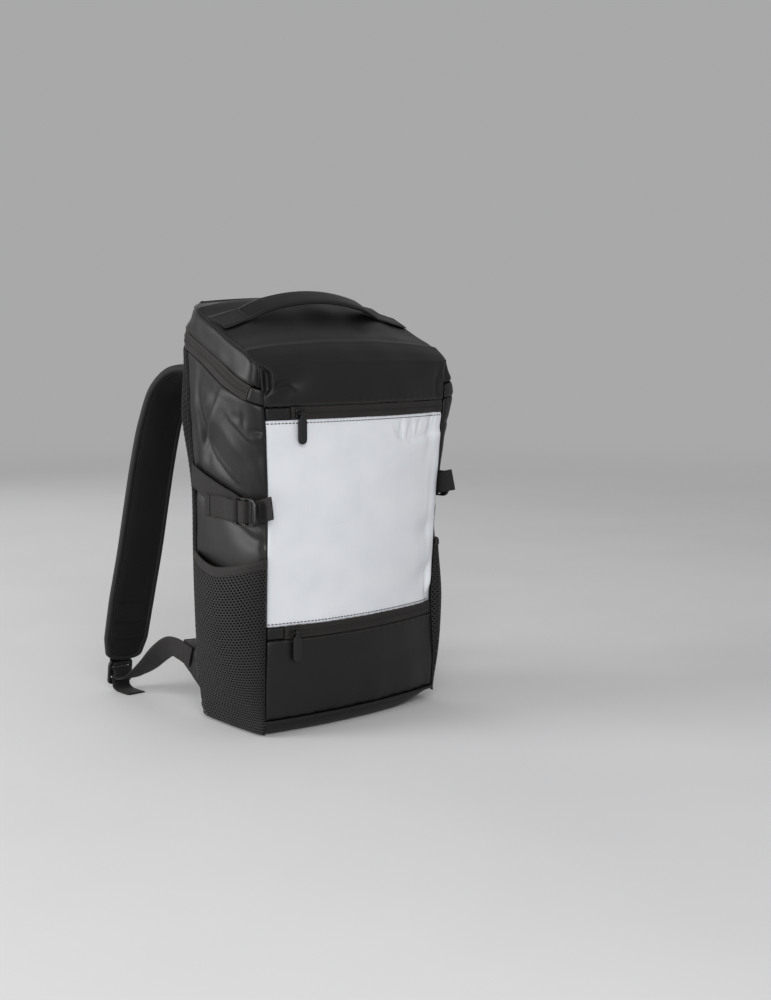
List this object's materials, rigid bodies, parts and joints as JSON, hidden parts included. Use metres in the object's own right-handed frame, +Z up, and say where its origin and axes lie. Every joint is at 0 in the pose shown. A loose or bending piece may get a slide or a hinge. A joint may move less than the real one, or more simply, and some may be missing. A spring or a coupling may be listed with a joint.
{
  "type": "laptop backpack",
  "caption": "Standing laptop backpack with a reflective front panel, zipped pockets, mesh side pockets, compression straps, a grab handle and padded shoulder straps.",
  "frame": {"origin": "middle of the flat base, on the surface that the bag stands on", "axes": "+X to the right seen from the front, +Y towards the padded back, +Z up"},
  "size_m": [0.324, 0.3369, 0.4937],
  "materials": {
    "coated": "matte coated cloth",
    "reflective": "fine woven reflective film",
    "tape": "ribbed zip tape",
    "mesh": "knitted mesh",
    "webbing": "woven webbing",
    "binding": "folded edge binding",
    "padding": "padded spacer mesh",
    "plastic": "moulded, satin",
    "pull": "moulded, soft matte"
  },
  "bodies": {
    "bag": {"front_lower_panel": "coated", "reflective_panel": "reflective", "lower_zip_tape": "tape", "lower_zip_end_tab": "coated", "upper_zip_tape": "tape", "upper_zip_end_tab": "coated", "top_panel": "coated", "main_zip_tape": "tape", "main_zip_end_tab_left": "coated", "main_zip_end_tab_right": "coated", "lid_gusset": "coated", "side_panel_left": "coated", "side_panel_right": "coated", "back_panel": "padding", "base_panel": "coated", "base_piping": "coated", "mesh_pocket_left": "mesh", "mesh_pocket_right": "mesh", "pocket_binding_left": "webbing", "pocket_binding_right": "webbing", "compression_strap_left": "webbing", "compression_strap_right": "webbing", "compression_tail_left": "webbing", "compression_tail_right": "webbing", "compression_buckle_left": "plastic", "compression_buckle_right": "plastic", "grab_handle": "coated", "shoulder_strap_left": "padding", "shoulder_strap_right": "padding", "strap_binding_left": "binding", "strap_binding_right": "binding", "strap_adjuster_left": "plastic", "strap_adjuster_right": "plastic", "strap_keeper_left": "webbing", "strap_keeper_right": "webbing", "strap_webbing_left": "webbing", "strap_webbing_right": "webbing", "strap_wing_left": "coated", "strap_wing_right": "coated", "upper_zip_slider": "plastic", "lower_zip_slider": "plastic", "main_zip_slider": "plastic"},
    "upper_pull": {"upper_zip_pull": "pull"},
    "lower_pull": {"lower_zip_pull": "pull"}
  },
  "joints": [
    {"name": "zip_pull_upper", "type": "hinge", "parent": "bag", "child": "upper_pull", "pos_m": [-0.09384, -0.08575, 0.3585], "axis": [-0.9887, 0.1498, 0], "range_deg": [0, 150]},
    {"name": "zip_pull_lower", "type": "hinge", "parent": "bag", "child": "lower_pull", "pos_m": [-0.09427, -0.07527, 0.11575], "axis": [-0.974, 0.2266, 0], "range_deg": [0, 150]}
  ]
}
